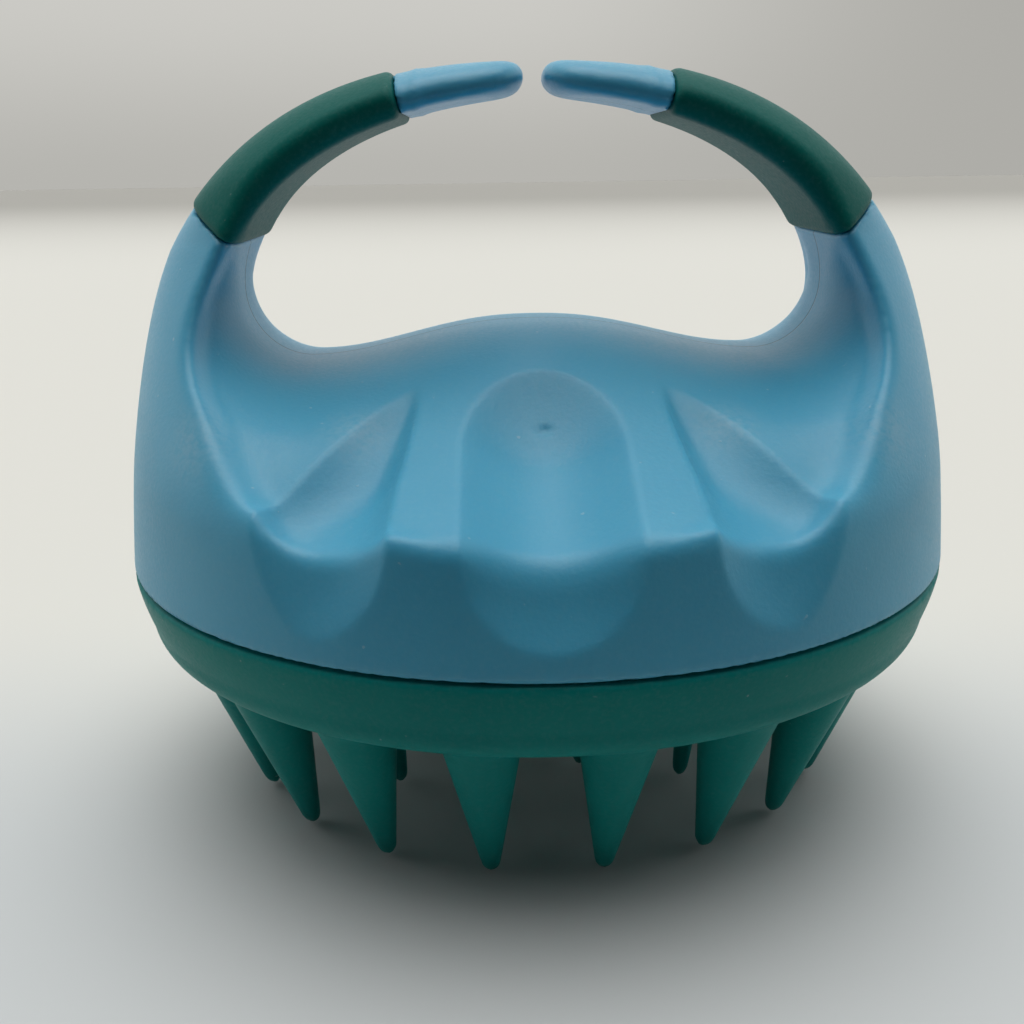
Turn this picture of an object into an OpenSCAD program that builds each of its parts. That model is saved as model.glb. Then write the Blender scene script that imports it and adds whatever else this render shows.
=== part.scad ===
// Scalp massager brush: a one-piece hollow shell with two finger arms, two soft arm grips,
// a silicone bristle pad and the plate that holds the pad.
// Frame: X is the long way, Y is front to back, Z is up, and the bristle tips stand on z = 0.

/* [Shell] */
// Length of the shell along X at the seam
shell_length = 89; // [80:1:98]
// Depth of the shell along Y at the seam
shell_depth = 77; // [70:1:84]
// Height of the highest point of the arms
arm_top_z = 77.5; // [74:0.5:80]
// Height of the seam between shell and pad
seam_z = 28; // [27:0.5:29]
// How far the wall pulls in between the seam and the shoulder
wall_waist = 1; // [0:0.1:1.4]
// Wall thickness of the hollow shell
wall = 2.2; // [1.8:0.1:2.6]

/* [Finger hole and crest] */
// Half width of the hole under the arms
hole_half_w = 30.8; // [30:0.1:31.4]
// Height where the hole is widest
hole_mid_z = 55.5; // [55:0.5:56]
// Thickness of the arms over the middle of the hole
arm_thick = 3.3; // [3:0.1:3.8]
// Height of the crest at the middle
crest_z = 52; // [51:0.1:53]
// Height of the two low saddles beside the crest
saddle_z = 48.4; // [47.5:0.1:49]
// Distance of each saddle from the middle
saddle_x = 24; // [23:0.5:25]

/* [Arms and bowl] */
// Gap between the two arm tips
tip_gap = 1.6; // [1:0.1:3]
// Half depth of the arms near their tips
arm_half_depth = 8; // [7:0.5:9]
// Height of the front edge of the bowl
rim_z = 40; // [39:0.5:41]
// Height over which the bowl's flank steepens into the arms
flank_fall = 7.6; // [7:0.1:8]
// How much more the outer face of an arm is crowned than the wall below it
arm_crown = 0.84; // [0.6:0.02:0.9]
// Distance of the flat shoulder bevel from the middle of the seam
bevel_reach = 39.5; // [38.5:0.1:40.5]
// Drop of the bowl's rim at its four corners
corner_drop = 2.2; // [0:0.2:3]

/* [Finger grooves] */
// Depth of each groove
groove_depth = 2.3; // [0:0.1:3]
// Half width of the middle groove
groove_half_w = 7.6; // [6:0.2:8]
// Distance of the deepest line of an outer groove from the middle, at the rim
groove_side_x = 17.4; // [16:0.2:18]
// Height of the lower ends of the grooves on the wall
groove_end_z = 30.5; // [29.5:0.1:32]

/* [Grips] */
// Angle on the arm where a grip starts, measured from straight down
grip_from = 113; // [111:1:116]
// Angle on the arm where a grip ends
grip_to = 158; // [155:1:160]
// Depth of the recess in the arm under the grip
grip_recess = 1.1; // [0.8:0.1:1.3]
// How far the grip stands proud of the arm
grip_proud = 0.35; // [0.2:0.05:0.5]

/* [Bristle pad] */
// Height of the underside of the pad
pad_under_z = 20; // [19:0.5:21]
// How far the pad's side draws in from the seam to its lower edge
pad_taper = 2.3; // [1.5:0.1:3]
// Thickness of the pad's membrane and rim
pad_skin = 2; // [1.6:0.1:2.4]
// Radius of the pad's lower edge
pad_edge_r = 1.8; // [1:0.1:2]
// Bristles in the outer row
outer_count = 18; // [12:2:20]
// Base diameter of an outer bristle
outer_base_d = 7.6; // [6:0.2:8]
// Base diameter of an inner bristle
inner_base_d = 4.4; // [3.5:0.1:5]
// Tip diameter of a bristle
tip_d = 1.8; // [1.4:0.1:2.2]

/* [Base plate] */
// Thickness of the plate
plate_t = 2.4; // [2:0.2:3]
// Clearance around the plate inside the pad's rim
plate_gap = 0.3; // [0.2:0.05:0.5]
// Number of snap hooks on the plate
hook_count = 8; // [8:2:10]
// Width of a snap hook
hook_w = 7; // [5:0.5:8]

/* [Hidden] */

half_l = shell_length / 2;
half_d = shell_depth / 2;
dome_h = arm_top_z - seam_z;
plan_ratio = half_l / half_d;
// power of the rounded dome, and how its outer face gains its crown on the way up
dome_power = 2.5;
crown_power = 1.7;
crown_from_z = seam_z + 10;
crown_to_z = seam_z + 33;
waist_to_z = seam_z + 32;
flank_reach = half_d - arm_half_depth;
hole_top_z = arm_top_z - arm_thick;
hole_corner_r = hole_half_w - saddle_x;
hole_rise = hole_top_z - hole_mid_z;
hole_fall = hole_mid_z - saddle_z;
crest_power = 1.15;
// how the crest rounds off towards the front and the back, per mm squared, and where that ends on the arms
crest_bow = 0.006;
bow_from_z = hole_mid_z + 1.5;
bow_to_z = hole_mid_z - 5.5;
// the bevel: a plane on each quarter that leans in with X and with height, level above the arm roots
bevel_x = 0.65;
bevel_z = 0.83;
bevel_normal = [bevel_x, 1, bevel_z] / norm([bevel_x, 1, bevel_z]);
bevel_top_z = hole_mid_z + 6.5;
bevel_ease = 4;
// blend radii between bevel and dome, at the ridge, on the bowl, on the arms and at the tips
blend_bevel = 3;
blend_ridge = 0.8;
blend_rim = 2;
blend_scoop = 1.6;
blend_bowl = 9;
blend_arm = 2.6;
blend_tip = 7;
// depths behind the bevel over which the ridge softens into the rim and the scoop into the bowl
ridge_soft = [3, 7];
scoop_soft = [-0.5, 4.5];
arm_root = [hole_mid_z - 0.5, hole_mid_z + 8.5];
// region of the rim's corners
corner_x = [15, 25];
corner_y = [18, 28];
// grooves: half depth where they start, where they are at full width, and length of their rounded ends
groove_y = [13.5, 23];
groove_round_z = 8;
side_y = [14, 19];
side_reach_y = 30;
side_fade = [11, 28];
side_round_z = 10;
// outer and inner edge of an outer groove at its upper end, and their spread per mm towards the rim
side_from_y = 16;
side_outer = [15.4, 0.78];
side_inner = [11.4, 0.13];
side_lean = 0.34;
side_ease = 3;
// smallest width of an outer groove on the two sides of its deepest line
side_least = [1.5, 1];
// how its deepest line turns outwards on the way down the wall
side_turn = 0.1;
turn_power = 1.5;
side_turn_z = rim_z + 0.5;
groove_power = 1.15;

// the loft ends below the seam, where it is cut off
loft_floor_z = seam_z - 16;

// the spine of the C-shaped body: an ellipse with two half heights, midway between hole and dome
dome_share = 0.898;
spine_a = (hole_half_w + half_l * dome_share) / 2;
spine_z = hole_mid_z - 1.5;
spine_up = arm_top_z - arm_thick / 2 - spine_z;
spine_down = spine_z - seam_z + 1;
tip_angle = 178.2;
section_rays = 40;
ray_spread = 0.53;
ray_max = 46;
arm_ray_max = 16;
ray_steps = 13;
body_thick = 20;
arm_half_thick = 2.6;
// angles on the spine over which the body's section turns into an arm's
arm_turn = [30, 85];
reach_turn = [60, 85];
spread_turn = [30, 58];

function smax(a, b, r) = let (h = max(r - abs(a - b), 0) / r) max(a, b) + h * h * r / 4;
function limit(t) = min(max(t, 0), 1);
function ramp(v, ends) = let (t = limit((v - ends[0]) / (ends[1] - ends[0]))) t * t * (3 - 2 * t);
function mix(a, b, t) = a + (b - a) * t;
// v up to top - ease, easing into top, which it never passes
function level_off(v, top, ease) = let (over = min(max(v - top + ease, 0), 2 * ease))
    min(v, top + ease) - over * over / (4 * ease);

// outer dome: an ellipse in plan that closes over the arms, crowned towards the top
function y_scale(z) = plan_ratio
    + arm_crown * pow(limit((z - crown_from_z) / (crown_to_z - crown_from_z)), crown_power);
function waist(z) = wall_waist * sin(180 * limit((z - seam_z) / (waist_to_z - seam_z)));
function dome(p) = let (
    q = (norm([p[0], p[1] * y_scale(p[2])]) + waist(p[2])) / half_l,
    u = max((p[2] - seam_z) / dome_h, 0)
) half_l * (pow(pow(q, dome_power) + pow(u, dome_power), 1 / dome_power) - 1);

// shoulder bevel: depth in front of the plane, negative behind it
function bevel(p) = [abs(p[0]), abs(p[1]), level_off(p[2], bevel_top_z, bevel_ease) - seam_z] * bevel_normal
    - bevel_reach;

// flank: the bell-shaped outline seen from the side, lower at the corners of the rim
function flank(p) = let (
    reach = flank_reach * exp(-(p[2] - rim_z) / flank_fall),
    slope = reach / flank_fall,
    drop = corner_drop * ramp(abs(p[0]), corner_x) * ramp(abs(p[1]), corner_y)
) (abs(p[1]) - arm_half_depth - reach) / sqrt(1 + slope * slope) + drop;

// depth inside an ellipse with half axes a and b
function oval(u, v, a, b) = let (k = norm([u / a, v / b]))
    k * (1 - k) / max(norm([u / a / a, v / b / b]), 0.0001);

// finger hole: positive inside the hole, its lower edge is the crest between two saddles
function crest(x) = (crest_z + saddle_z) / 2
    + (crest_z - saddle_z) / 2 * cos(180 * pow(limit(abs(x) / saddle_x), crest_power));
function hole_low(x, z) = x < saddle_x ? z - crest(x)
    : oval(x - saddle_x, z - hole_mid_z, hole_corner_r, hole_fall);
function hole(p) = crest_bow * p[1] * p[1] * ramp(-p[2], [-bow_from_z, -bow_to_z])
    + (p[2] < hole_mid_z ? hole_low(abs(p[0]), p[2]) : oval(p[0], p[2] - hole_mid_z, hole_half_w, hole_rise));

// finger grooves, three at the front and three at the back: each runs from the bowl over the rim
function tail(v, from, size) = max((from - v) / size, 0);
function bottom(t2) = pow(max(1 - t2, 0), groove_power);
function middle_groove(p) = bottom(pow(p[0] / groove_half_w, 2)
    + pow(tail(abs(p[1]), groove_y[1], groove_y[1] - groove_y[0]), 2)
    + pow(tail(p[2], groove_end_z + groove_round_z, groove_round_z), 2));
function side_groove(p) = let (
    x = abs(p[0]),
    back = level_off(abs(p[1]), side_reach_y, side_ease) - side_from_y,
    deep_x = groove_side_x + side_lean * (back - side_reach_y + side_from_y)
        + side_turn * pow(max(side_turn_z - p[2], 0), turn_power),
    edge_x = x > deep_x ? max(side_outer[0] + side_outer[1] * back, deep_x + side_least[0])
        : min(side_inner[0] + side_inner[1] * back, deep_x - side_least[1]),
    t = (x - deep_x) / (edge_x - deep_x)
) ramp(abs(p[1]), side_fade) * bottom(t * t
    + pow(tail(abs(p[1]), side_y[1], side_y[1] - side_y[0]), 2)
    + pow(tail(p[2], groove_end_z + side_round_z, side_round_z), turn_power));
function groove(p) = p[2] < groove_end_z ? 0 : groove_depth * max(middle_groove(p), side_groove(p));

// two tips that face each other over the hole
function tips(p) = p[2] > hole_mid_z ? tip_gap / 2 - abs(p[0]) : -ray_max;

// the whole body, negative inside: bowl and hole within bevel and dome, less the grooves
function body(p) = let (
    shoulder = bevel(p),
    outer = smax(dome(p), shoulder, blend_bevel),
    scoop = mix(blend_scoop, blend_bowl, ramp(-shoulder, scoop_soft)),
    side = smax(flank(p), tips(p), blend_tip),
    inner = smax(hole(p), side, mix(scoop, blend_arm, ramp(p[2], arm_root))),
    ridge = mix(blend_ridge, blend_rim, ramp(-shoulder, ridge_soft))
) max(smax(inner, outer, ridge) + groove(p), loft_floor_z - p[2]);

// walk along a ray to the surface that lies off below the outer skin
function cut(p, u, lo, hi, off, n) = let (m = (lo + hi) / 2)
    n == 0 ? p + u * m
    : body(p + u * m) + off < 0 ? cut(p, u, m, hi, off, n - 1)
    : cut(p, u, lo, m, off, n - 1);

function spine_h(t) = abs(t) > 90 ? spine_up : spine_down;
function spine_at(t) = [spine_a * sin(t), 0, spine_z - spine_h(t) * cos(t)];
function spine_out(t) = let (v = [sin(t) / spine_a, 0, -cos(t) / spine_h(t)]) v / norm(v);

// one closed loop of points around the body in the section across the spine; on the base most of the
// rays go to the bowl and the wall, and few to the open underside
function section(t, off) = let (
    c = spine_at(t),
    out = spine_out(t),
    arm = ramp(abs(t), arm_turn),
    even = ramp(abs(t), spread_turn),
    wide = mix(half_d, arm_half_depth, arm),
    thick = mix(body_thick, arm_half_thick, arm),
    reach = mix(ray_max, arm_ray_max, ramp(abs(t), reach_turn))
) [for (i = [0:section_rays - 1]) let (
    s = 1 - abs(1 - 2 * i / section_rays),
    a = 180 * mix(pow(s, ray_spread), s, even) * (2 * i < section_rays ? 1 : -1),
    v = out * thick * cos(a) + [0, wide * sin(a), 0]
) cut(c, v / norm(v), 0, reach, off, ray_steps)];

// skin between loops of equal length, closed at both ends or joined into a ring
module loft(loops, ring = false) {
    n = len(loops[0]);
    m = len(loops);
    last = ring ? m - 1 : m - 2;
    // the diagonals are mirrored about the middle both ways, so they follow the ridges on every quarter
    sides = [for (k = [0:last], i = [0:n - 1]) let (
        j = (i + 1) % n,
        a = k * n,
        b = ((k + 1) % m) * n
    ) each (2 * k < m - 1) == (2 * i < n)
        ? [[a + i, b + i, a + j], [b + i, b + j, a + j]]
        : [[a + i, b + i, b + j], [a + i, b + j, a + j]]];
    ends = ring ? [] : [[for (i = [0:n - 1]) i], [for (i = [0:n - 1]) (m - 1) * n + n - 1 - i]];
    polyhedron(points = [for (l = loops) each l], faces = concat(sides, ends), convexity = 8);
}

// angles of the sections: close together over the base with its grooves, wider on the arms
base_step = 3.6;
arm_step = 7;
tip_parts = 6;
grip_parts = 7;
grip_angles = [for (i = [0:grip_parts]) mix(grip_from, grip_to, i / grip_parts)];
half_stations = concat(
    [for (t = [base_step / 2:base_step:reach_turn[1] - base_step]) [t, 0]],
    [for (t = [reach_turn[1]:arm_step:grip_from - arm_step / 2]) [t, 0]],
    [[grip_from, 0]],
    [for (t = grip_angles) [t, grip_recess]],
    [[grip_to, 0]],
    [for (i = [1:tip_parts]) [mix(tip_angle, grip_to, pow(1 - i / tip_parts, 2)), 0]]
);
stations = concat(
    [for (i = [len(half_stations) - 1:-1:0]) [-half_stations[i][0], half_stations[i][1]]],
    half_stations
);

// cavity of the shell, as rays from a point under the middle
cavity_az = 36;
cavity_el = 8;
cavity_from_z = seam_z - 4;
cavity_top_z = saddle_z - wall;
cavity_low_el = 2;
cavity_high_el = 85;
function cavity_end(u, lo, hi, n) = let (m = (lo + hi) / 2, p = [0, 0, cavity_from_z] + u * m)
    n == 0 ? p
    : max(body(p) + wall, p[2] - cavity_top_z) < 0 ? cavity_end(u, m, hi, n - 1)
    : cavity_end(u, lo, m, n - 1);
function cavity_dir(a, e) = let (v = [cos(e) * sin(a), cos(e) * cos(a) / plan_ratio, sin(e)]) v / norm(v);

module cavity() {
    loft([for (k = [0:cavity_el - 1]) [for (i = [0:cavity_az - 1]) cavity_end(
        cavity_dir(-360 * i / cavity_az, mix(cavity_low_el, cavity_high_el, k / (cavity_el - 1))),
        0, ray_max, ray_steps)]]);
}

// heights of the pad, the plate and its hooks
pad_drop = half_l - half_d;
membrane_top_z = pad_under_z + pad_skin;
lip_t = 1.2;
lip_reach = 2.6;
plate_rim_z = seam_z - lip_t;
plate_rim_t = 2;
ledge_z = seam_z + 3;
ledge_t = 1.6;
ledge_reach = 1.8;
hook_t = 1.8;
hook_gap = 0.3;
barb_h = 2.4;
hook_from = 52.5;
hook_step = (180 - 2 * hook_from) / (hook_count / 2 - 1);
hook_angles = [for (side = [-1, 1], i = [0:hook_count / 2 - 1]) side * (hook_from + hook_step * i)];
// half length of the plate, inside the rim of the pad
plate_half_l = half_l - pad_taper - pad_skin - plate_gap;

// bristle rows: half length and half depth of the ring of feet, then of the tips, count, base diameter, sides
tip_z = 0;
tip_round = 0.5;
foot_drop = 0.4;
outer_foot = half_l - 6.9;
outer_tip = half_l - 11.8;
foot_ring = [outer_foot, outer_foot - pad_drop + 0.2];
tip_ring = [outer_tip, outer_tip - pad_drop - 1.1];
middle_share = 0.59;
core_share = 0.28;
rows = [
    [foot_ring, tip_ring, outer_count, outer_base_d, 10],
    [foot_ring * middle_share, tip_ring * (middle_share + 0.02), 10, inner_base_d, 6],
    [foot_ring * core_share, tip_ring * (core_share + 0.01), 6, inner_base_d, 6]
];

function at_angle(half, a) = [half[0] * sin(a), -half[1] * cos(a), 0];
function on_ellipse(a, half_x) = at_angle([half_x, half_x / plan_ratio], a);

// places a child at an angle on an ellipse, its +X outwards
module at_rim(a, rx) {
    translate(on_ellipse(a, rx)) rotate([0, 0, atan2(-cos(a) * plan_ratio, sin(a))]) children();
}

module ledge() {
    hull() {
        translate([-ledge_reach, -hook_w / 2, ledge_z]) cube([ledge_reach + wall / 2, hook_w, ledge_t]);
        translate([0, -hook_w / 2, ledge_z - ledge_reach]) cube([wall / 2, hook_w, ledge_t]);
    }
}

module body_shell() {
    color("steelblue") {
        difference() {
            loft([for (s = stations) section(s[0], s[1])]);
            translate([-shell_length, -shell_depth, 0]) cube([2 * shell_length, 2 * shell_depth, seam_z]);
            cavity();
        }
        for (a = hook_angles) at_rim(a, half_l - wall - wall_waist / 2) ledge();
    }
}

// soft sleeve around an arm: its outer skin stands proud, its inner skin fills the recess
module arm_grip(side) {
    edge = 0.9;
    outer = [for (i = [0:grip_parts]) [mix(grip_from + edge, grip_to - edge, i / grip_parts), -grip_proud]];
    inner = [for (i = [grip_parts:-1:0]) [grip_angles[i], grip_recess]];
    ring = concat([[grip_from, 0]], outer, [[grip_to, 0]], inner);
    n = len(ring);
    color("seagreen")
        loft([for (i = [0:n - 1]) let (s = side > 0 ? ring[i] : ring[n - 1 - i]) section(side * s[0], s[1])], true);
}

module left_arm_grip() {
    arm_grip(-1);
}

module right_arm_grip() {
    arm_grip(1);
}

// half outline of the pad: side, rounded lower edge, membrane, rim and inward lip
side_steps = 5;
side_h = seam_z - pad_under_z - pad_edge_r;
pad_low_r = half_l - pad_taper;
pad_outline = concat(
    [[0, pad_under_z], [0, membrane_top_z], [pad_low_r - pad_skin, membrane_top_z],
     [pad_low_r - pad_skin + 0.6, plate_rim_z], [pad_low_r - pad_skin - lip_reach, plate_rim_z],
     [pad_low_r - pad_skin - lip_reach, seam_z]],
    [for (i = [0:side_steps]) let (t = i / side_steps)
        [half_l - pad_taper * pow(t, 1.6), seam_z - side_h * t]],
    [for (a = [22.5:22.5:90]) [pad_low_r - pad_edge_r * (1 - cos(a)), pad_under_z + pad_edge_r * (1 - sin(a))]]
);

module bristle(row, a) {
    foot = at_angle(row[0], a);
    tip = at_angle(row[1], a);
    hull() {
        translate(foot + [0, 0, pad_under_z + foot_drop]) cylinder(d = row[3], h = pad_skin / 2, $fn = row[4]);
        translate(tip + [0, 0, tip_z + tip_round]) cylinder(d = tip_d, h = tip_round / 4, $fn = row[4]);
        translate(tip + [0, 0, tip_z]) cylinder(d = tip_d - 2 * tip_round, h = tip_round, $fn = row[4]);
    }
}

module bristle_pad() {
    color("teal") {
        scale([1, 1 / plan_ratio, 1]) rotate_extrude($fn = 60) polygon(pad_outline);
        for (row = rows, i = [0:row[2] - 1]) bristle(row, 360 * (i + 0.5) / row[2]);
    }
}

module hook() {
    barb_z = ledge_z + ledge_t + hook_gap;
    side = -hook_w / 2 + hook_gap;
    length = hook_w - 2 * hook_gap;
    hull() {
        translate([-hook_t, side, membrane_top_z + plate_t / 2]) cube([hook_t, length, plate_t]);
        translate([-hook_t, side, barb_z]) cube([hook_t, length, barb_h]);
    }
    hull() {
        translate([-hook_t / 2, side, barb_z]) cube([hook_t / 2 + ledge_reach - hook_gap, length, barb_h / 3]);
        translate([-hook_t / 2, side, barb_z]) cube([hook_t / 2, length, barb_h]);
    }
}

plate_outline = [
    [0, membrane_top_z], [plate_half_l, membrane_top_z], [plate_half_l, plate_rim_z],
    [plate_half_l - plate_rim_t, plate_rim_z], [plate_half_l - plate_rim_t, membrane_top_z + plate_t],
    [0, membrane_top_z + plate_t]
];

module base_plate() {
    hook_r = half_l - wall - wall_waist / 2 - ledge_reach - hook_gap;
    color("gainsboro") {
        scale([1, 1 / plan_ratio, 1]) rotate_extrude($fn = 60) polygon(plate_outline);
        for (a = hook_angles) at_rim(a, hook_r) hook();
    }
}

body_shell();
left_arm_grip();
right_arm_grip();
bristle_pad();
base_plate();
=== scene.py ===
"""Scalp massager brush: modelled skins, procedural materials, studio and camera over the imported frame."""
import math
import bpy
import numpy as np
from mathutils import Matrix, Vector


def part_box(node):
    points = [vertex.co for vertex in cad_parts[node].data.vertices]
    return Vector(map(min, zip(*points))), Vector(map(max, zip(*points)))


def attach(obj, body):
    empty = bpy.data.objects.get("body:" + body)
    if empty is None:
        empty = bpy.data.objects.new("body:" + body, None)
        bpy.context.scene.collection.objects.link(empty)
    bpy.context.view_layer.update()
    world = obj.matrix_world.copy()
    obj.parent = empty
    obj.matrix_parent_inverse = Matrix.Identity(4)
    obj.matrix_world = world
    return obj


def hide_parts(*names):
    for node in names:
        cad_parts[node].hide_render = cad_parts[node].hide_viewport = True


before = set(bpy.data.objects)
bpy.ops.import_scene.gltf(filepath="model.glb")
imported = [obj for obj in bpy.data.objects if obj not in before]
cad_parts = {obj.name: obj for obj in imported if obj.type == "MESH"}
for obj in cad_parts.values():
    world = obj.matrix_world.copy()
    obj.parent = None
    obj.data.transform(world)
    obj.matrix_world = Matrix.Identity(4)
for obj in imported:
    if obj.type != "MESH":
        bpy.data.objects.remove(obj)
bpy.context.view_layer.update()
MM = 0.001


def box_mm(node):
    """Low and high corner of a CAD node, in mm."""
    return [np.array(corner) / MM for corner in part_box(node)]


# ---------------------------------------------------------------- sizes, in mm and degrees
shell_low, shell_high = box_mm("body_shell")
pad_low, pad_high = box_mm("bristle_pad")
HALF_L = pad_high[0]
HALF_D = pad_high[1]
SEAM_Z = pad_high[2]
PLAN_RATIO = HALF_L / HALF_D
# a distance past any piece
FAR = 99.0

# dome: an ellipse in plan that closes over the arms; the values from here to the grips follow the CAD source
TOP_Z = 77.5
DOME_POWER = 2.5
ARM_CROWN = 0.84
CROWN_POWER = 1.7
CROWN_FROM_Z = 38.0
CROWN_TO_Z = 61.0
WALL_WAIST = 1.0
WAIST_TO_Z = SEAM_Z + 32
# bevel: a plane on each quarter that leans in with X and with height, level above the arm roots
BEVEL_X = 0.65
BEVEL_Z = 0.83
BEVEL_AT = 80.7
BEVEL_TOP_Z = 62.0
BEVEL_EASE = 4.0
# flank: the bell-shaped outline seen from the side, lower at the corners of the bowl's rim
ARM_HALF_DEPTH = 8.0
RIM_Z = 40.0
FLANK_FALL = 7.6
CORNER_DROP = 2.2
CORNER_X = (15, 25)
CORNER_Y = (18, 28)
# finger hole, crest and saddles, and how the crest rounds off to the front and back, per mm squared
HOLE_HALF_W = 30.8
HOLE_MID_Z = 55.5
HOLE_TOP_Z = 74.2
CREST_Z = 52.0
SADDLE_Z = 48.4
SADDLE_X = 24.0
CREST_POWER = 1.15
CREST_BOW = 0.006
BOW_FROM_Z = 57
BOW_TO_Z = 50
TIP_GAP = 1.6
# blend radii, and the depths behind the bevel or the heights over which they change
BLEND_BEVEL = 3.0
BLEND_TIP = 7.0
BLEND_SCOOP = 1.6
BLEND_BOWL = 9.0
BLEND_ARM = 2.6
BLEND_RIDGE = 0.8
BLEND_RIM = 2.0
SCOOP_SOFT = (-0.5, 4.5)
ARM_ROOT = (55, 64)
RIDGE_SOFT = (3, 7)
# how much further back the ridge stays crisp on the arms, which only the skin has
CRISP = 4
CRISP_Z = (50, 60)
# middle groove: where it starts and where it is at full width, and the length of its lower end
GROOVE_DEPTH = 2.3
GROOVE_POWER = 1.15
GROOVE_END_Z = 30.5
MIDDLE_HALF_W = 7.6
MIDDLE_Y = (13.5, 23.0)
MIDDLE_ROUND_Z = 8.0
# outer grooves: the same; then the deepest line and both edges, each as its distance from the middle at
# SIDE_FROM_Y and its spread per mm from there to the rim; then how the deepest line turns down the wall
SIDE_Y = (14.0, 19.0)
SIDE_ROUND_Z = 10.0
SIDE_FROM_Y = 16
SIDE_REACH_Y = 30.0
SIDE_EASE = 3.0
SIDE_DEEP = (12.6, 0.34)
SIDE_OUTER = (15.4, 0.78)
SIDE_INNER = (11.4, 0.13)
SIDE_LEAST = (1.5, 1.0)
SIDE_FADE = (-5, 12)
SIDE_TURN = 0.1
TURN_POWER = 1.5
SIDE_TURN_Z = RIM_Z + 0.5

# grips: angles on the arm's spine, an ellipse around the hole
GRIP_FROM = 113.0
GRIP_TO = 158.0
GRIP_RECESS = 1.1
GRIP_PROUD = 0.35
GRIP_EDGE_R = 0.9
GRIP_FIT = 0.05
SPINE_A = 35.38
SPINE_UP = 21.85
SPINE_Z = 54.0
ARM_FROM_Z = 58.0

# only on the skins: the open seam, the raised collars beside the grips and the gate mark
SEAM_GAP = 0.14
SEAM_EDGE_R = 0.5
COLLAR_X = 11.5
COLLAR_WIDTH = 0.5
COLLAR_PROUD = 0.1
GATE_AT = (0.3, -18.7, 44.2)
GATE_R = 0.45
GATE_DEPTH = 0.35

# pad, a little fuller at its lower edge than in the CAD source
PAD_UNDER_Z = 19.5
PAD_TAPER = 1.2
PAD_TAPER_POWER = 1.5
PAD_EDGE_R = 3.2
# bristles: half length and half depth of the rings of feet and of tips, where they end inside the pad, the
# roundness of their tips as a share of the tip's radius, and the blend into the pad
FOOT_RING = (HALF_L - 8.1, HALF_D - 6.7)
TIP_RING = (HALF_L - 11.8, HALF_D - 12.9)
BRISTLE_FOOT_Z = PAD_UNDER_Z + 0.9
BRISTLE_TIP_R = 0.75
TIP_BLEND = 2.2
FOOT_BLEND = 0.5
BRISTLE_BLEND = 1.0
BRISTLE_MARGIN = 2
FOOT_MARGIN = 1
# rows of bristles: share of the ring of feet and of tips, count, radius at the foot
BRISTLE_ROWS = ((1.0, 1.0, 18, 4.1), (0.59, 0.61, 10, 2.2), (0.28, 0.29, 6, 2.2))

# cell size of each mesh
SHELL_STEP = 0.48
GRIP_STEP = 0.32
PAD_STEP = 0.5


# ---------------------------------------------------------------- shape functions, negative inside
def smooth_max(a, b, r):
    h = np.clip(r - np.abs(a - b), 0, None) / r
    return np.maximum(a, b) + h * h * r / 4


def ramp(v, span):
    """0 before the span, 1 after it, and smooth between."""
    t = np.clip((v - span[0]) / (span[1] - span[0]), 0, 1)
    return t * t * (3 - 2 * t)


def mix(a, b, t):
    return a + (b - a) * t


def level_off(v, top, ease):
    """v up to top - ease, easing into top, which it never passes."""
    over = np.clip(v - top + ease, 0, 2 * ease)
    return np.minimum(v, top + ease) - over * over / (4 * ease)


def dome(x, y, z):
    gain = np.clip((z - CROWN_FROM_Z) / (CROWN_TO_Z - CROWN_FROM_Z), 0, 1) ** CROWN_POWER
    waist = WALL_WAIST * np.sin(np.pi * np.clip((z - SEAM_Z) / (WAIST_TO_Z - SEAM_Z), 0, 1))
    q = (np.hypot(x, y * (PLAN_RATIO + ARM_CROWN * gain)) + waist) / HALF_L
    u = np.clip((z - SEAM_Z) / (TOP_Z - SEAM_Z), 0, None)
    return HALF_L * ((q ** DOME_POWER + u ** DOME_POWER) ** (1 / DOME_POWER) - 1)


def bevel(x, y, z):
    rise = BEVEL_Z * level_off(z, BEVEL_TOP_Z, BEVEL_EASE)
    return (np.abs(y) + BEVEL_X * np.abs(x) + rise - BEVEL_AT) / math.sqrt(1 + BEVEL_X ** 2 + BEVEL_Z ** 2)


def flank(x, y, z):
    reach = (HALF_D - ARM_HALF_DEPTH) * np.exp(-(z - RIM_Z) / FLANK_FALL)
    slope = reach / FLANK_FALL
    drop = CORNER_DROP * ramp(np.abs(x), CORNER_X) * ramp(np.abs(y), CORNER_Y)
    return (np.abs(y) - ARM_HALF_DEPTH - reach) / np.sqrt(1 + slope * slope) + drop


def oval(u, v, a, b):
    """Depth inside an ellipse with half axes a and b, in mm."""
    k1 = np.hypot(u / a, v / b)
    k2 = np.hypot(u / a ** 2, v / b ** 2)
    return k1 * (1 - k1) / np.maximum(k2, 1e-6)


def crest(ax):
    """Height of the hole's lower edge between the saddles."""
    wave = np.cos(np.pi * np.clip(ax / SADDLE_X, 0, 1) ** CREST_POWER)
    return (CREST_Z + SADDLE_Z) / 2 + (CREST_Z - SADDLE_Z) / 2 * wave


def hole(x, y, z):
    """Positive inside the hole."""
    ax = np.abs(x)
    corner = oval(ax - SADDLE_X, z - HOLE_MID_Z, HOLE_HALF_W - SADDLE_X, HOLE_MID_Z - SADDLE_Z)
    low = np.where(ax < SADDLE_X, z - crest(ax), corner)
    high = oval(x, z - HOLE_MID_Z, HOLE_HALF_W, HOLE_TOP_Z - HOLE_MID_Z)
    bow = CREST_BOW * y * y * ramp(-z, (-BOW_FROM_Z, -BOW_TO_Z))
    return bow + np.where(z < HOLE_MID_Z, low, high)


def tail(v, start, size):
    """0 from start on, growing to 1 at size before it."""
    return np.clip((start - v) / size, 0, None)


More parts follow.
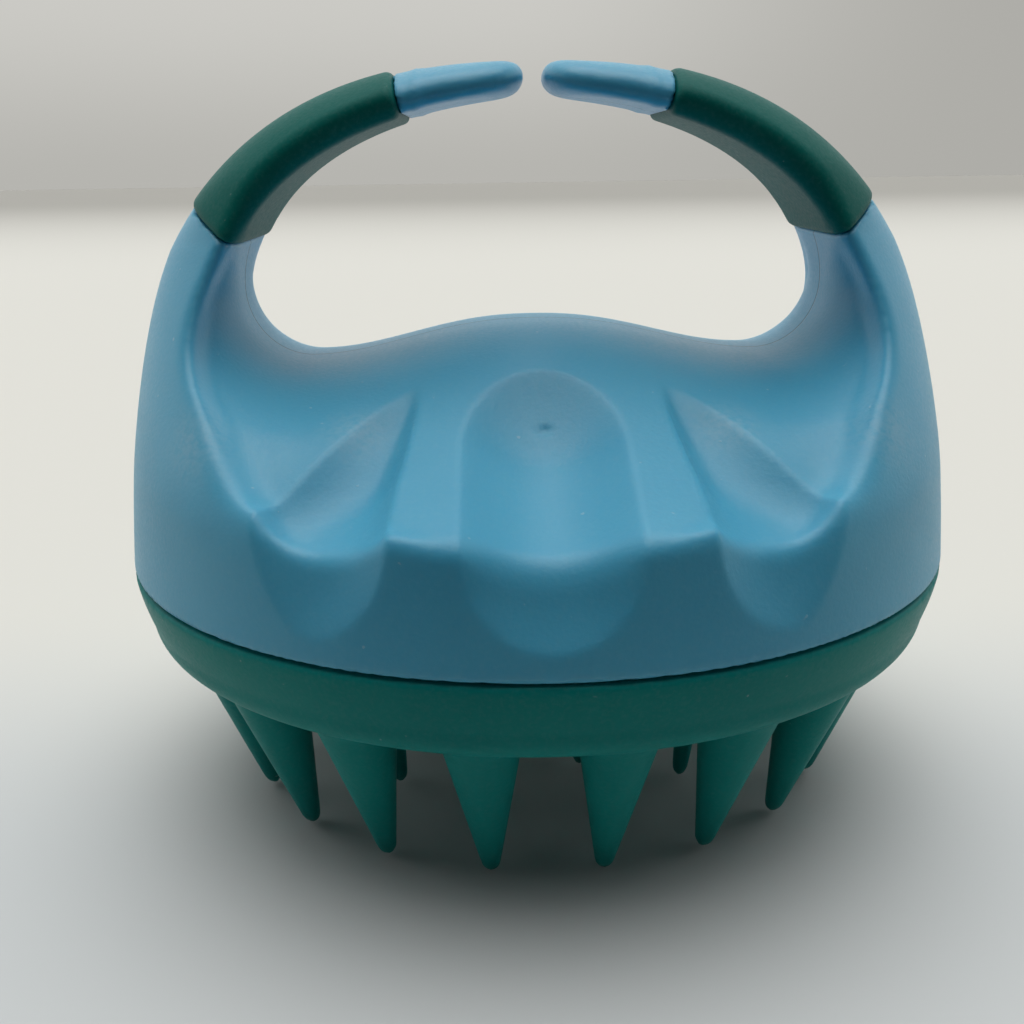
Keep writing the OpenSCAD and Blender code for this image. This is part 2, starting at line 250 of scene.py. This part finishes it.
def middle_groove(x, y, z):
    t2 = ((x / MIDDLE_HALF_W) ** 2 + tail(np.abs(y), MIDDLE_Y[1], MIDDLE_Y[1] - MIDDLE_Y[0]) ** 2
          + tail(z, GROOVE_END_Z + MIDDLE_ROUND_Z, MIDDLE_ROUND_Z) ** 2)
    return np.clip(1 - t2, 0, None) ** GROOVE_POWER


def side_groove(x, y, z):
    ax, ay = np.abs(x), np.abs(y)
    back = level_off(ay, SIDE_REACH_Y, SIDE_EASE) - SIDE_FROM_Y
    turn = SIDE_TURN * np.clip(SIDE_TURN_Z - z, 0, None) ** TURN_POWER
    deep, outer, inner = (x0 + spread * back for x0, spread in (SIDE_DEEP, SIDE_OUTER, SIDE_INNER))
    deep = deep + turn
    t = np.where(ax > deep, (ax - deep) / np.maximum(outer - deep, SIDE_LEAST[0]),
                 (ax - deep) / np.maximum(deep - inner, SIDE_LEAST[1]))
    t2 = (t * t + tail(ay, SIDE_Y[1], SIDE_Y[1] - SIDE_Y[0]) ** 2
          + tail(z, GROOVE_END_Z + SIDE_ROUND_Z, SIDE_ROUND_Z) ** TURN_POWER)
    return np.clip(1 - t2, 0, None) ** GROOVE_POWER * ramp(back, SIDE_FADE)


def grooves(x, y, z):
    return GROOVE_DEPTH * np.maximum(middle_groove(x, y, z), side_groove(x, y, z))


def body(x, y, z):
    """The whole shell without its recesses: bowl and hole within bevel and dome, less the grooves."""
    tips = np.where(z > HOLE_MID_Z, TIP_GAP / 2 - np.abs(x), -FAR)
    side = smooth_max(flank(x, y, z), tips, BLEND_TIP)
    shoulder = bevel(x, y, z)
    outer = smooth_max(dome(x, y, z), shoulder, BLEND_BEVEL)
    scoop = mix(BLEND_SCOOP, BLEND_BOWL, ramp(-shoulder, SCOOP_SOFT))
    inner = smooth_max(hole(x, y, z), side, mix(scoop, BLEND_ARM, ramp(z, ARM_ROOT)))
    crisp = CRISP * ramp(z, CRISP_Z)
    ridge = mix(BLEND_RIDGE, BLEND_RIM, ramp(-shoulder, (RIDGE_SOFT[0] + crisp, RIDGE_SOFT[1] + crisp)))
    return smooth_max(inner, outer, ridge) + grooves(x, y, z)


def along_arm(x, z, angle):
    """How far a point lies past the section at an angle on the arm, measured from straight down."""
    t = math.radians(angle)
    run, rise = SPINE_A * math.cos(t), SPINE_UP * math.sin(t)
    far = (np.abs(x) - SPINE_A * math.sin(t)) * run + (z - SPINE_Z + SPINE_UP * math.cos(t)) * rise
    return far / math.hypot(run, rise)


def grip_slab(x, z):
    """Negative between the two ends of a grip."""
    return np.maximum(np.maximum(-along_arm(x, z, GRIP_FROM), along_arm(x, z, GRIP_TO)), ARM_FROM_Z - z)


def marks(x, y, z):
    """The raised collar beside each grip, and the gate mark in the front middle groove."""
    collar = COLLAR_PROUD * np.exp(-((np.abs(x) - COLLAR_X) / COLLAR_WIDTH) ** 2) * (z > ARM_FROM_Z)
    far2 = (x - GATE_AT[0]) ** 2 + (y - GATE_AT[1]) ** 2 + (z - GATE_AT[2]) ** 2
    return GATE_DEPTH * np.exp(-far2 / GATE_R ** 2) - collar


def shell_field(x, y, z):
    skin = body(x, y, z) + marks(x, y, z)
    recessed = np.maximum(skin, np.minimum(skin + GRIP_RECESS, -grip_slab(x, z)))
    return smooth_max(recessed, SEAM_Z + SEAM_GAP - z, SEAM_EDGE_R)


def grip_field(x, y, z):
    skin = body(x, y, z)
    outer = smooth_max(skin - GRIP_PROUD, grip_slab(x, z) + GRIP_FIT, GRIP_EDGE_R)
    return np.maximum(outer, GRIP_FIT - skin - GRIP_RECESS)


def pad_outline(z):
    """Half length of the pad at a height."""
    side = SEAM_Z - PAD_UNDER_Z - PAD_EDGE_R
    t = np.clip((SEAM_Z - z) / side, 0, 1)
    curl = np.clip(PAD_UNDER_Z + PAD_EDGE_R - z, 0, PAD_EDGE_R)
    return HALF_L - PAD_TAPER * t ** PAD_TAPER_POWER - PAD_EDGE_R + np.sqrt(PAD_EDGE_R ** 2 - curl ** 2)


def pad_disc(x, y, z):
    q = np.hypot(x, y * PLAN_RATIO)
    lean = np.hypot(x, y * PLAN_RATIO ** 2) / np.maximum(q, 1e-6)
    side = (q - pad_outline(z)) / np.maximum(lean, 1)
    return smooth_max(np.maximum(side, PAD_UNDER_Z - z), z - SEAM_Z + SEAM_GAP, SEAM_EDGE_R)


def bristles():
    """Foot, tip and foot radius of each bristle."""
    for foot_share, tip_share, count, radius in BRISTLE_ROWS:
        for i in range(count):
            a = 2 * math.pi * (i + 0.5) / count
            turn = np.array([math.sin(a), -math.cos(a)])
            yield turn * FOOT_RING * foot_share, turn * TIP_RING * tip_share, radius


def bristle_field(x, y, z, foot, tip, radius):
    """A leaning cone with a rounded tip at z = 0."""
    t = z / BRISTLE_FOOT_Z
    r = BRISTLE_TIP_R + (radius - BRISTLE_TIP_R) * t
    across = np.hypot(x - tip[0] - (foot[0] - tip[0]) * t, y - tip[1] - (foot[1] - tip[1]) * t) - r
    across /= math.hypot(1, (radius - BRISTLE_TIP_R) / BRISTLE_FOOT_Z)
    return smooth_max(across, -z, TIP_BLEND * BRISTLE_TIP_R)


def pad_field(x, y, z):
    pad = pad_disc(x, y, z)
    near = np.full_like(pad, FAR)
    for foot, tip, radius in bristles():
        # worked out only for the grid points around this bristle
        middle, reach = (foot + tip) / 2, np.abs(foot - tip) / 2 + radius + BRISTLE_MARGIN
        close = (np.abs(x - middle[0]) < reach[0]) & (np.abs(y - middle[1]) < reach[1])
        close &= z < BRISTLE_FOOT_Z + FOOT_MARGIN
        near[close] = np.minimum(near[close], bristle_field(x[close], y[close], z[close], foot, tip, radius))
    near = smooth_max(near, z - BRISTLE_FOOT_Z - FOOT_BLEND, FOOT_BLEND)
    return -smooth_max(-pad, -near, BRISTLE_BLEND)


# ---------------------------------------------------------------- meshing
def surface_net(field, low, high, step):
    """Vertices and quads on field = 0, from a grid of cells step wide."""
    axes = [np.arange(a - step, b + 2 * step, step) for a, b in zip(low, high)]
    grid = np.meshgrid(*axes, indexing="ij")
    value = field(*grid)
    inside = value < 0
    shape = np.array(value.shape) - 1
    corner = [(i, j, k) for i in (0, 1) for j in (0, 1) for k in (0, 1)]

    def at(a, c):
        return a[c[0]:c[0] + shape[0], c[1]:c[1] + shape[1], c[2]:c[2] + shape[2]]

    # one vertex in each cell that the surface passes through: the mean of its crossings of the edges
    count = sum(at(inside, c).astype(np.int8) for c in corner)
    cells = np.argwhere((count > 0) & (count < 8))
    index = -np.ones(shape, int)
    index[tuple(cells.T)] = np.arange(len(cells))
    total = np.zeros((len(cells), 3))
    hits = np.zeros(len(cells))
    for c0 in corner:
        for axis in range(3):
            if c0[axis]:
                continue
            c1 = tuple(c0[i] + (i == axis) for i in range(3))
            v0 = value[tuple((cells + c0).T)]
            v1 = value[tuple((cells + c1).T)]
            cross = (v0 < 0) != (v1 < 0)
            t = np.where(cross, v0 / np.where(cross, v0 - v1, 1), 0)
            point = cells + c0 + 0.0
            point[:, axis] += t
            total += point * cross[:, None]
            hits += cross
    points = total / hits[:, None] * step + [a[0] for a in axes]
    # one quad around each edge that crosses the surface
    quads = []
    for axis in range(3):
        u, v = (axis + 1) % 3, (axis + 2) % 3
        first = np.moveaxis(inside, axis, 0)
        change = np.argwhere(np.moveaxis(first[:-1] != first[1:], 0, axis))
        keep = (change[:, u] > 0) & (change[:, v] > 0) & (change[:, u] < shape[u]) & (change[:, v] < shape[v])
        change = change[keep]
        ring = []
        for du, dv in ((0, 0), (1, 0), (1, 1), (0, 1)):
            cell = change.copy()
            cell[:, u] -= du
            cell[:, v] -= dv
            ring.append(index[tuple(cell.T)])
        quad = np.stack(ring, 1)
        flip = ~inside[tuple(change.T)]
        quad[flip] = quad[flip][:, ::-1]
        quads.append(quad)
    return points, np.concatenate(quads)


def settle(points, field, rounds=4, h=0.02, longest=0.3, least_slope=0.05):
    """Moves points onto field = 0 along its slope."""
    p = points.copy()
    for _ in range(rounds):
        value = field(*p.T)
        slope = np.stack([(field(*(p + e).T) - field(*(p - e).T)) / (2 * h) for e in np.eye(3) * h], 1)
        size = np.maximum((slope ** 2).sum(1), least_slope)
        p -= np.clip(value / size, -longest, longest)[:, None] * slope
    return p


def modelled(name, field, low, high, step, material, slot, node):
    """A finer skin in place of a CAD node."""
    points, quads = surface_net(field, low, high, step)
    mesh = bpy.data.meshes.new(name)
    mesh.from_pydata((settle(points, field) * MM).tolist(), [], quads.tolist())
    mesh.validate()
    mesh.polygons.foreach_set("use_smooth", [True] * len(mesh.polygons))
    mesh.materials.append(material)
    obj = bpy.data.objects.new(name, mesh)
    bpy.context.scene.collection.objects.link(obj)
    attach(obj, "root")
    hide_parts(node)


# ---------------------------------------------------------------- shader nodes
def srgb(r, g, b):
    def lin(c):
        c /= 255
        return c / 12.92 if c <= 0.04045 else ((c + 0.055) / 1.055) ** 2.4
    return lin(r), lin(g), lin(b), 1.0


class Nodes:
    """A node tree with short ways to add and join its nodes."""

    def __init__(self, owner):
        owner.use_nodes = True
        self.tree = owner.node_tree

    def add(self, kind, settings=(), **inputs):
        node = self.tree.nodes.new("ShaderNode" + kind)
        for name, value in dict(settings).items():
            setattr(node, name, value)
        for name, value in inputs.items():
            self.set(node, name.replace("_", " "), value)
        return node

    def set(self, node, name, value):
        if isinstance(value, bpy.types.NodeSocket):
            self.tree.links.new(value, node.inputs[name])
        else:
            node.inputs[name].default_value = value

    def math(self, operation, a, b=0.0, c=0.0):
        node = self.add("Math", {"operation": operation})
        for i, value in enumerate((a, b, c)):
            self.set(node, i, value)
        return node.outputs[0]

    def vector(self, operation, a, b=(0.0, 0.0, 0.0)):
        node = self.add("VectorMath", {"operation": operation})
        self.set(node, 0, a)
        self.set(node, 1, b)
        return node.outputs

    def span(self, value, span, out0=0.0, out1=1.0):
        """Maps value from a span to out0..out1, smoothly."""
        node = self.add("MapRange", {"interpolation_type": "SMOOTHSTEP"})
        sockets = ("Value", "From Min", "From Max", "To Min", "To Max")
        for name, v in zip(sockets, (value, span[0], span[1], out0, out1)):
            self.set(node, name, v)
        return node.outputs["Result"]

    def mix(self, factor, a, b):
        node = self.add("Mix", {"data_type": "RGBA"})
        for name, value in (("Factor", factor), ("A", a), ("B", b)):
            self.set(node, name, value)
        return node.outputs["Result"]

    def noise(self, vector, scale, detail, rough):
        return self.add("TexNoise", Vector=vector, Scale=scale, Detail=detail, Roughness=rough).outputs["Fac"]


# ---------------------------------------------------------------- materials
# noise of the plastic: scale per metre, detail and roughness, then the span of each that counts
CLOUD = (55, 2, 0.5)
FROST = (2200, 3, 0.6)
SPECK = (1100, 1, 0.5)
HAZE = (1500, 2, 0.5)
GRAIN = (2600, 4, 0.5)
CLOUD_SPAN = (0.3, 0.7)
FROST_SPAN = (0.4, 0.8)
SPECK_SPAN = (0.78, 0.82)
HAZE_SPAN = (0.1, 0.7)
GRAIN_SPAN = (0.25, 0.75)
# how much of each colour is mixed in
FROST_COLOUR, FROST_SHARE = srgb(205, 215, 215), 0.025
SPECK_COLOUR, SPECK_SHARE = srgb(225, 230, 225), 0.14
LINE_COLOUR, LINE_SHARE = srgb(20, 60, 75), 0.6
# pale colour of the painted sheen patches
PAINTED_SHEEN_COLOUR = srgb(190, 208, 214)
# half width of the parting line, from full strength to none, in metres
LINE_SPAN = (0.00006, 0.00018)
# what the grain takes off the roughness and adds to it, and what frost adds
GRAIN_SMOOTHER = 0.05
GRAIN_ROUGHER = 0.06
FROST_ROUGHER = 0.08
# bump: depth in metres, strength, height of specks and depth of the line in units of the grain
BUMP_DEPTH = 0.00006
BUMP_STRENGTH = 0.35
SPECK_RISE = 0.6
LINE_DIP = 1.5
# pale patches of painted sheen on each quarter of the shell, a reflection painted on the lower bevels: centre
# and radius, in metres
PAINTED_SHEEN_PATCHES = (((0.0315, 0.0217, 0.0446), 0.0062), ((0.0175, 0.0190, 0.0446), 0.0050))


def plastic(name, deep, pale, rough, glow, radius, gloss=0.35, parting=0.0, painted_sheen=0.0):
    """Moulded satin plastic: clouded colour, fine frosting, specks, a parting line on the middle plane and,
    where asked, pale patches of painted sheen.
    """
    mat = bpy.data.materials.new(name)
    n = Nodes(mat)
    bsdf = mat.node_tree.nodes["Principled BSDF"]
    at = n.add("TexCoord").outputs["Object"]
    frost = n.span(n.noise(at, *FROST), FROST_SPAN)
    speck = n.span(n.noise(at, *SPECK), SPECK_SPAN)
    grain = n.noise(at, *GRAIN)
    place = n.add("SeparateXYZ", Vector=at).outputs
    line = n.span(n.math("ABSOLUTE", place["Y"]), LINE_SPAN, parting, 0.0)

    colour = n.mix(n.span(n.noise(at, *CLOUD), CLOUD_SPAN), deep, pale)
    colour = n.mix(n.math("MULTIPLY", frost, FROST_SHARE), colour, FROST_COLOUR)
    colour = n.mix(n.math("MULTIPLY", speck, SPECK_SHARE), colour, SPECK_COLOUR)
    # pale patches of painted sheen, a reflection painted on the lower bevels, broken up by haze noise
    if painted_sheen:
        quarter = n.vector("ABSOLUTE", at)[0]
        haze = n.span(n.noise(at, *HAZE), HAZE_SPAN)
        for centre, reach in PAINTED_SHEEN_PATCHES:
            patch = n.span(n.vector("DISTANCE", quarter, centre)["Value"], (0.0, reach), painted_sheen, 0.0)
            colour = n.mix(n.math("MULTIPLY", patch, haze), colour, PAINTED_SHEEN_COLOUR)
    n.set(bsdf, "Base Color", n.mix(n.math("MULTIPLY", line, LINE_SHARE), colour, LINE_COLOUR))

    satin = n.span(grain, GRAIN_SPAN, rough - GRAIN_SMOOTHER, rough + GRAIN_ROUGHER)
    n.set(bsdf, "Roughness", n.math("ADD", satin, n.math("MULTIPLY", frost, FROST_ROUGHER)))
    raised = n.math("ADD", grain, n.math("MULTIPLY", speck, SPECK_RISE))
    height = n.math("SUBTRACT", raised, n.math("MULTIPLY", line, LINE_DIP))
    bump = n.add("Bump", Height=height, Strength=BUMP_STRENGTH, Distance=BUMP_DEPTH)
    n.set(bsdf, "Normal", bump.outputs["Normal"])
    n.set(bsdf, "Specular IOR Level", gloss)
    n.set(bsdf, "Subsurface Weight", glow)
    n.set(bsdf, "Subsurface Radius", radius)
    n.set(bsdf, "Subsurface Scale", 1.0)
    return mat


# the shell carries pale patches of painted sheen on its lower bevels
blue = plastic("shell_blue_plastic", srgb(66, 156, 192), srgb(74, 162, 197),
               rough=0.38, glow=0.3, radius=(0.0005, 0.0010, 0.0013), parting=1.0, painted_sheen=0.17)
green = plastic("grip_green_elastomer", srgb(0, 92, 87), srgb(2, 97, 91),
                rough=0.46, glow=0.1, radius=(0.0004, 0.0010, 0.0009), gloss=0.06)
teal = plastic("pad_green_silicone", srgb(0, 118, 117), srgb(3, 123, 121),
               rough=0.42, glow=0.3, radius=(0.0004, 0.0014, 0.0013), gloss=0.08)
grey = plastic("plate_plastic", srgb(196, 200, 198), srgb(208, 210, 208),
               rough=0.5, glow=0.0, radius=(0.001, 0.001, 0.001))

# ---------------------------------------------------------------- pieces
coarse = 1
modelled("shell_skin", shell_field, shell_low, shell_high, SHELL_STEP * coarse, blue, "shell", "body_shell")
for side in ("left", "right"):
    node = side + "_arm_grip"
    modelled(side + "_grip_skin", grip_field, *box_mm(node), GRIP_STEP * coarse, green, "grip", node)
modelled("pad_skin", pad_field, pad_low, pad_high, PAD_STEP * coarse, teal, "pad", "bristle_pad")

# the base plate is the CAD node itself
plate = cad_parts["base_plate"]
plate.data.materials.clear()
plate.data.materials.append(grey)

# ---------------------------------------------------------------- studio, in metres and radians
CAMERA_AT = (-0.004373, -0.11218, 0.0684)
CAMERA_PITCH = 0.332
CAMERA_YAW = -0.015
CAMERA_ROLL = -0.015
CAMERA_LENS = 36.14
CAMERA_SENSOR = 36
CAMERA_NEAR = 0.005


def make_camera():
    data = bpy.data.cameras.new("camera")
    data.lens = CAMERA_LENS
    data.sensor_width = CAMERA_SENSOR
    data.clip_start = CAMERA_NEAR
    cam = bpy.data.objects.new("camera", data)
    bpy.context.scene.collection.objects.link(cam)
    level = Matrix(((1, 0, 0), (0, 0, -1), (0, 1, 0)))
    view = Matrix.Rotation(CAMERA_ROLL, 3, "Z") @ Matrix.Rotation(CAMERA_PITCH, 3, "X") \
        @ Matrix.Rotation(CAMERA_YAW, 3, "Y") @ level
    right, down, forward = view
    turn = Matrix((right, -down, -forward)).transposed()
    cam.matrix_world = Matrix.Translation(CAMERA_AT) @ turn.to_4x4()
    bpy.context.scene.camera = cam


# floor: how far it reaches, its colours for the camera from near to far, the nearest being painted shade, and
# what it casts back, darkened in front by painted shade
FLOOR_REACH = 3.0
# painted shade on the floor towards the camera, and the span over which it fades out
FLOOR_PAINTED_SHADE = srgb(196, 200, 203)
FLOOR_PALE = srgb(210, 210, 206)
FLOOR_FAR = srgb(156, 155, 151)
# painted shade: the floor's dark colour in front of the object, for the light it casts back, and the span
# over which it fades
BOUNCE_PAINTED_SHADE = srgb(70, 70, 70)
PAINTED_SHADE_Y = (-0.025, 0.045)
FAR_Y = (0.55, 1.9)
BOUNCE_SHADE_Y = (-0.13, -0.05)
FLOOR_ROUGH = 0.7
FLOOR_GLOSS = 0.2


def make_floor():
    mesh = bpy.data.meshes.new("floor")
    s = FLOOR_REACH
    mesh.from_pydata([(-s, -s, 0), (s, -s, 0), (s, s, 0), (-s, s, 0)], [], [(0, 1, 2, 3)])
    floor = bpy.data.objects.new("floor", mesh)
    bpy.context.scene.collection.objects.link(floor)
    mat = bpy.data.materials.new("floor_paper")
    n = Nodes(mat)
    bsdf = mat.node_tree.nodes["Principled BSDF"]
    y = n.add("SeparateXYZ", Vector=n.add("TexCoord").outputs["Object"]).outputs["Y"]
    seen = n.mix(n.span(y, FAR_Y), FLOOR_PALE, FLOOR_FAR)
    # painted shade: the floor seen by the camera darkens towards the front
    seen = n.mix(n.span(y, PAINTED_SHADE_Y), FLOOR_PAINTED_SHADE, seen)
    # painted shade: the floor casts less light back in front of the object
    cast = n.mix(n.span(y, BOUNCE_SHADE_Y), BOUNCE_PAINTED_SHADE, FLOOR_PALE)
    n.set(bsdf, "Base Color", n.mix(n.add("LightPath").outputs["Is Camera Ray"], cast, seen))
    n.set(bsdf, "Roughness", FLOOR_ROUGH)
    n.set(bsdf, "Specular IOR Level", FLOOR_GLOSS)
    mesh.materials.append(mat)


# light of the sky, and the spans of direction over which it changes: forward, sideways and around the top
SKY_COLOUR = srgb(255, 254, 250)
SKY_FRONT = 0.03
SKY_BACK = 0.95
SKY_SIDE = 0.3
SKY_TOP = 3.2
TOP_WAY = (0.0, 0.06, 0.998)
AROUND_SPAN = (-0.2, 0.32)
SIDE_SPAN = (0.55, 0.95)
TOP_SPAN = (0.82, 0.96)
# backdrop for the camera, from low to high and towards the right
BACKDROP_LOW = srgb(182, 181, 176)
BACKDROP_HIGH = srgb(203, 202, 197)
BACKDROP_RIGHT = srgb(174, 173, 168)
BACKDROP_RISE = (-0.02, 0.14)
BACKDROP_ACROSS = (0.0, 0.45)


def make_world():
    """Soft light from above, behind and both sides, less from the front; the camera sees a grey backdrop."""
    world = bpy.data.worlds.new("world")
    bpy.context.scene.world = world
    n = Nodes(world)
    ray = n.add("TexCoord").outputs["Generated"]
    way = n.add("SeparateXYZ", Vector=ray).outputs
    around = n.span(way["Y"], AROUND_SPAN, SKY_FRONT, SKY_BACK)
    side = n.span(n.math("ABSOLUTE", way["X"]), SIDE_SPAN, 0.0, SKY_SIDE)
    top = n.span(n.vector("DOT_PRODUCT", ray, TOP_WAY)["Value"], TOP_SPAN, 0.0, SKY_TOP)
    sky = world.node_tree.nodes["Background"]
    n.set(sky, "Color", SKY_COLOUR)
    n.set(sky, "Strength", n.math("ADD", n.math("ADD", around, side), top))
    shade = n.mix(n.span(way["Z"], BACKDROP_RISE), BACKDROP_LOW, BACKDROP_HIGH)
    shade = n.mix(n.span(way["X"], BACKDROP_ACROSS), shade, BACKDROP_RIGHT)
    backdrop = n.add("Background", Color=shade)
    both = n.add("MixShader")
    n.set(both, 0, n.add("LightPath").outputs["Is Camera Ray"])
    n.set(both, 1, sky.outputs[0])
    n.set(both, 2, backdrop.outputs[0])
    n.set(world.node_tree.nodes["World Output"], "Surface", both.outputs[0])


make_camera()
make_floor()
make_world()
bpy.context.scene.view_settings.view_transform = "Standard"
